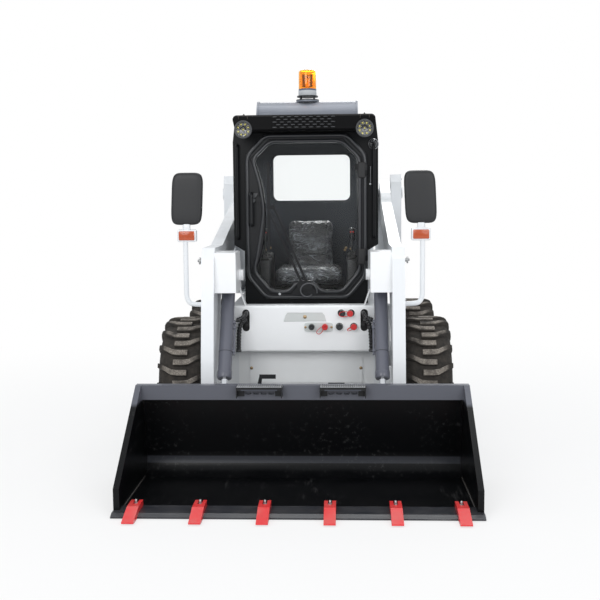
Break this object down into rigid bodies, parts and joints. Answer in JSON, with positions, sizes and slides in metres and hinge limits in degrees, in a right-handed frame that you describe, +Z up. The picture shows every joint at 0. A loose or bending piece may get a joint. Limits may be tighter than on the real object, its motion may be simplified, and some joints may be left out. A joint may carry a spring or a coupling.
{
  "type": "skid steer loader",
  "caption": "Wheeled skid steer loader with a closed cab, radial lift arms, hydraulic cylinders and a toothed bucket on a quick coupler.",
  "frame": {"origin": "on the ground at the middle of the machine's length and width", "axes": "+Z up, the bucket faces -Y, +X is the machine's left seen by its operator"},
  "size_m": [1.88, 3.59, 2.4725],
  "materials": {
    "black_paint": "satin",
    "black_plastic": "matte",
    "cab_glazing": "gloss",
    "chrome_rod": "polished",
    "coupler_steel": "worn",
    "edge_steel": "worn",
    "grey_paint": "satin",
    "hose_rubber": "matte",
    "lamp_clear": "gloss",
    "red_paint": "gloss",
    "rim_paint": "satin",
    "seat_vinyl": "satin",
    "tyre_rubber": "dusty",
    "white_paint": "satin"
  },
  "bodies": {
    "chassis": {"cab_footwell": "black_paint", "cab_glass": "cab_glazing", "cab_shell": "black_paint", "engine_block": "grey_paint", "engine_cowl": "white_paint", "lamps": "lamp_clear", "main_frame": "white_paint", "rear_bumper": "white_paint", "rear_towers": "white_paint", "roof_unit": "grey_paint", "seat_back": "seat_vinyl", "seat_consoles": "black_plastic", "seat_cushion": "seat_vinyl", "visor": "black_paint"},
    "lift_arms": {"lift_arm_left": "white_paint", "lift_arm_right": "white_paint", "cross_member": "white_paint", "hoses": "hose_rubber", "aux_couplers": "coupler_steel", "mirrors": "black_plastic"},
    "bucket": {"bucket_shell": "black_paint", "cutting_edge": "edge_steel", "bucket_teeth": "red_paint", "bucket_steps": "black_paint", "coupler": "black_paint"},
    "cab_door": {"door_frame": "black_paint", "door_glass": "cab_glazing"},
    "tailgate": {"tailgate": "black_paint"},
    "hood_lid": {"hood_lid": "white_paint"},
    "lift_barrel_left": {"lift_barrel_left": "grey_paint"},
    "lift_rod_left": {"lift_rod_left": "chrome_rod"},
    "tilt_barrel_left": {"tilt_barrel_left": "grey_paint"},
    "tilt_rod_left": {"tilt_rod_left": "chrome_rod"},
    "wheel_front_left": {"tyre_front_left": "tyre_rubber", "rim_front_left": "rim_paint"},
    "wheel_rear_left": {"tyre_rear_left": "tyre_rubber", "rim_rear_left": "rim_paint"},
    "lift_barrel_right": {"lift_barrel_right": "grey_paint"},
    "lift_rod_right": {"lift_rod_right": "chrome_rod"},
    "tilt_barrel_right": {"tilt_barrel_right": "grey_paint"},
    "tilt_rod_right": {"tilt_rod_right": "chrome_rod"},
    "wheel_front_right": {"tyre_front_right": "tyre_rubber", "rim_front_right": "rim_paint"},
    "wheel_rear_right": {"tyre_rear_right": "tyre_rubber", "rim_rear_right": "rim_paint"}
  },
  "joints": [
    {"name": "wheel_front_left", "type": "hinge", "parent": "chassis", "child": "wheel_front_left", "pos_m": [-0.762, -0.249, 0.42], "axis": [1, 0, 0], "continuous": true},
    {"name": "wheel_front_right", "type": "hinge", "parent": "chassis", "child": "wheel_front_right", "pos_m": [0.762, -0.249, 0.42], "axis": [1, 0, 0], "continuous": true},
    {"name": "wheel_rear_left", "type": "hinge", "parent": "chassis", "child": "wheel_rear_left", "pos_m": [-0.762, 0.826, 0.42], "axis": [1, 0, 0], "continuous": true},
    {"name": "wheel_rear_right", "type": "hinge", "parent": "chassis", "child": "wheel_rear_right", "pos_m": [0.762, 0.826, 0.42], "axis": [1, 0, 0], "continuous": true},
    {"name": "lift", "type": "hinge", "parent": "chassis", "child": "lift_arms", "pos_m": [0, 1.225, 1.64], "axis": [-1, 0, 0], "range_deg": [0, 68]},
    {"name": "bucket_tilt", "type": "hinge", "parent": "lift_arms", "child": "bucket", "pos_m": [0, -0.805, 0.17], "axis": [1, 0, 0], "range_deg": [-22, 106]},
    {"name": "lift_barrel_left", "type": "hinge", "parent": "chassis", "child": "lift_barrel_left", "pos_m": [-0.5645, 1.085, 0.93], "axis": [-1, 0, 0], "range_deg": [0, 52.6]},
    {"name": "lift_rod_left", "type": "slide", "parent": "lift_barrel_left", "child": "lift_rod_left", "axis": [0, -0.9781, 0.2081], "range_m": [0, 0.7307]},
    {"name": "tilt_barrel_left", "type": "hinge", "parent": "lift_arms", "child": "tilt_barrel_left", "pos_m": [-0.467, -0.465, 1.13], "axis": [1, 0, 0], "range_deg": [-0.4, 1.2]},
    {"name": "tilt_rod_left", "type": "slide", "parent": "tilt_barrel_left", "child": "tilt_rod_left", "axis": [0, -0.4841, -0.875], "range_m": [-0.0881, 0.4167]},
    {"name": "lift_barrel_right", "type": "hinge", "parent": "chassis", "child": "lift_barrel_right", "pos_m": [0.5645, 1.085, 0.93], "axis": [-1, 0, 0], "range_deg": [0, 52.6]},
    {"name": "lift_rod_right", "type": "slide", "parent": "lift_barrel_right", "child": "lift_rod_right", "axis": [0, -0.9781, 0.2081], "range_m": [0, 0.7307]},
    {"name": "tilt_barrel_right", "type": "hinge", "parent": "lift_arms", "child": "tilt_barrel_right", "pos_m": [0.467, -0.465, 1.13], "axis": [1, 0, 0], "range_deg": [-0.4, 1.2]},
    {"name": "tilt_rod_right", "type": "slide", "parent": "tilt_barrel_right", "child": "tilt_rod_right", "axis": [0, -0.4841, -0.875], "range_m": [-0.0881, 0.4167]},
    {"name": "cab_door", "type": "hinge", "parent": "chassis", "child": "cab_door", "pos_m": [0.385, -0.225, 1.5], "axis": [0, 0, 1], "range_deg": [0, 70]},
    {"name": "tailgate", "type": "hinge", "parent": "chassis", "child": "tailgate", "pos_m": [-0.411, 1.759, 1], "axis": [0, 0, 1], "range_deg": [0, 100]},
    {"name": "hood_lid", "type": "hinge", "parent": "chassis", "child": "hood_lid", "pos_m": [0, 1.049, 1.486], "axis": [1, 0, 0], "range_deg": [0, 50]}
  ],
  "couplings": [
    {"joint": "lift_barrel_left", "follows": "lift", "ratio": 0.76636},
    {"joint": "lift_rod_left", "follows": "lift", "m_per_rad": 0.61397},
    {"joint": "tilt_barrel_left", "follows": "bucket_tilt", "ratio": 0.00977},
    {"joint": "tilt_rod_left", "follows": "bucket_tilt", "m_per_rad": 0.22414},
    {"joint": "lift_barrel_right", "follows": "lift", "ratio": 0.76636},
    {"joint": "lift_rod_right", "follows": "lift", "m_per_rad": 0.61397},
    {"joint": "tilt_barrel_right", "follows": "bucket_tilt", "ratio": 0.00977},
    {"joint": "tilt_rod_right", "follows": "bucket_tilt", "m_per_rad": 0.22414}
  ]
}
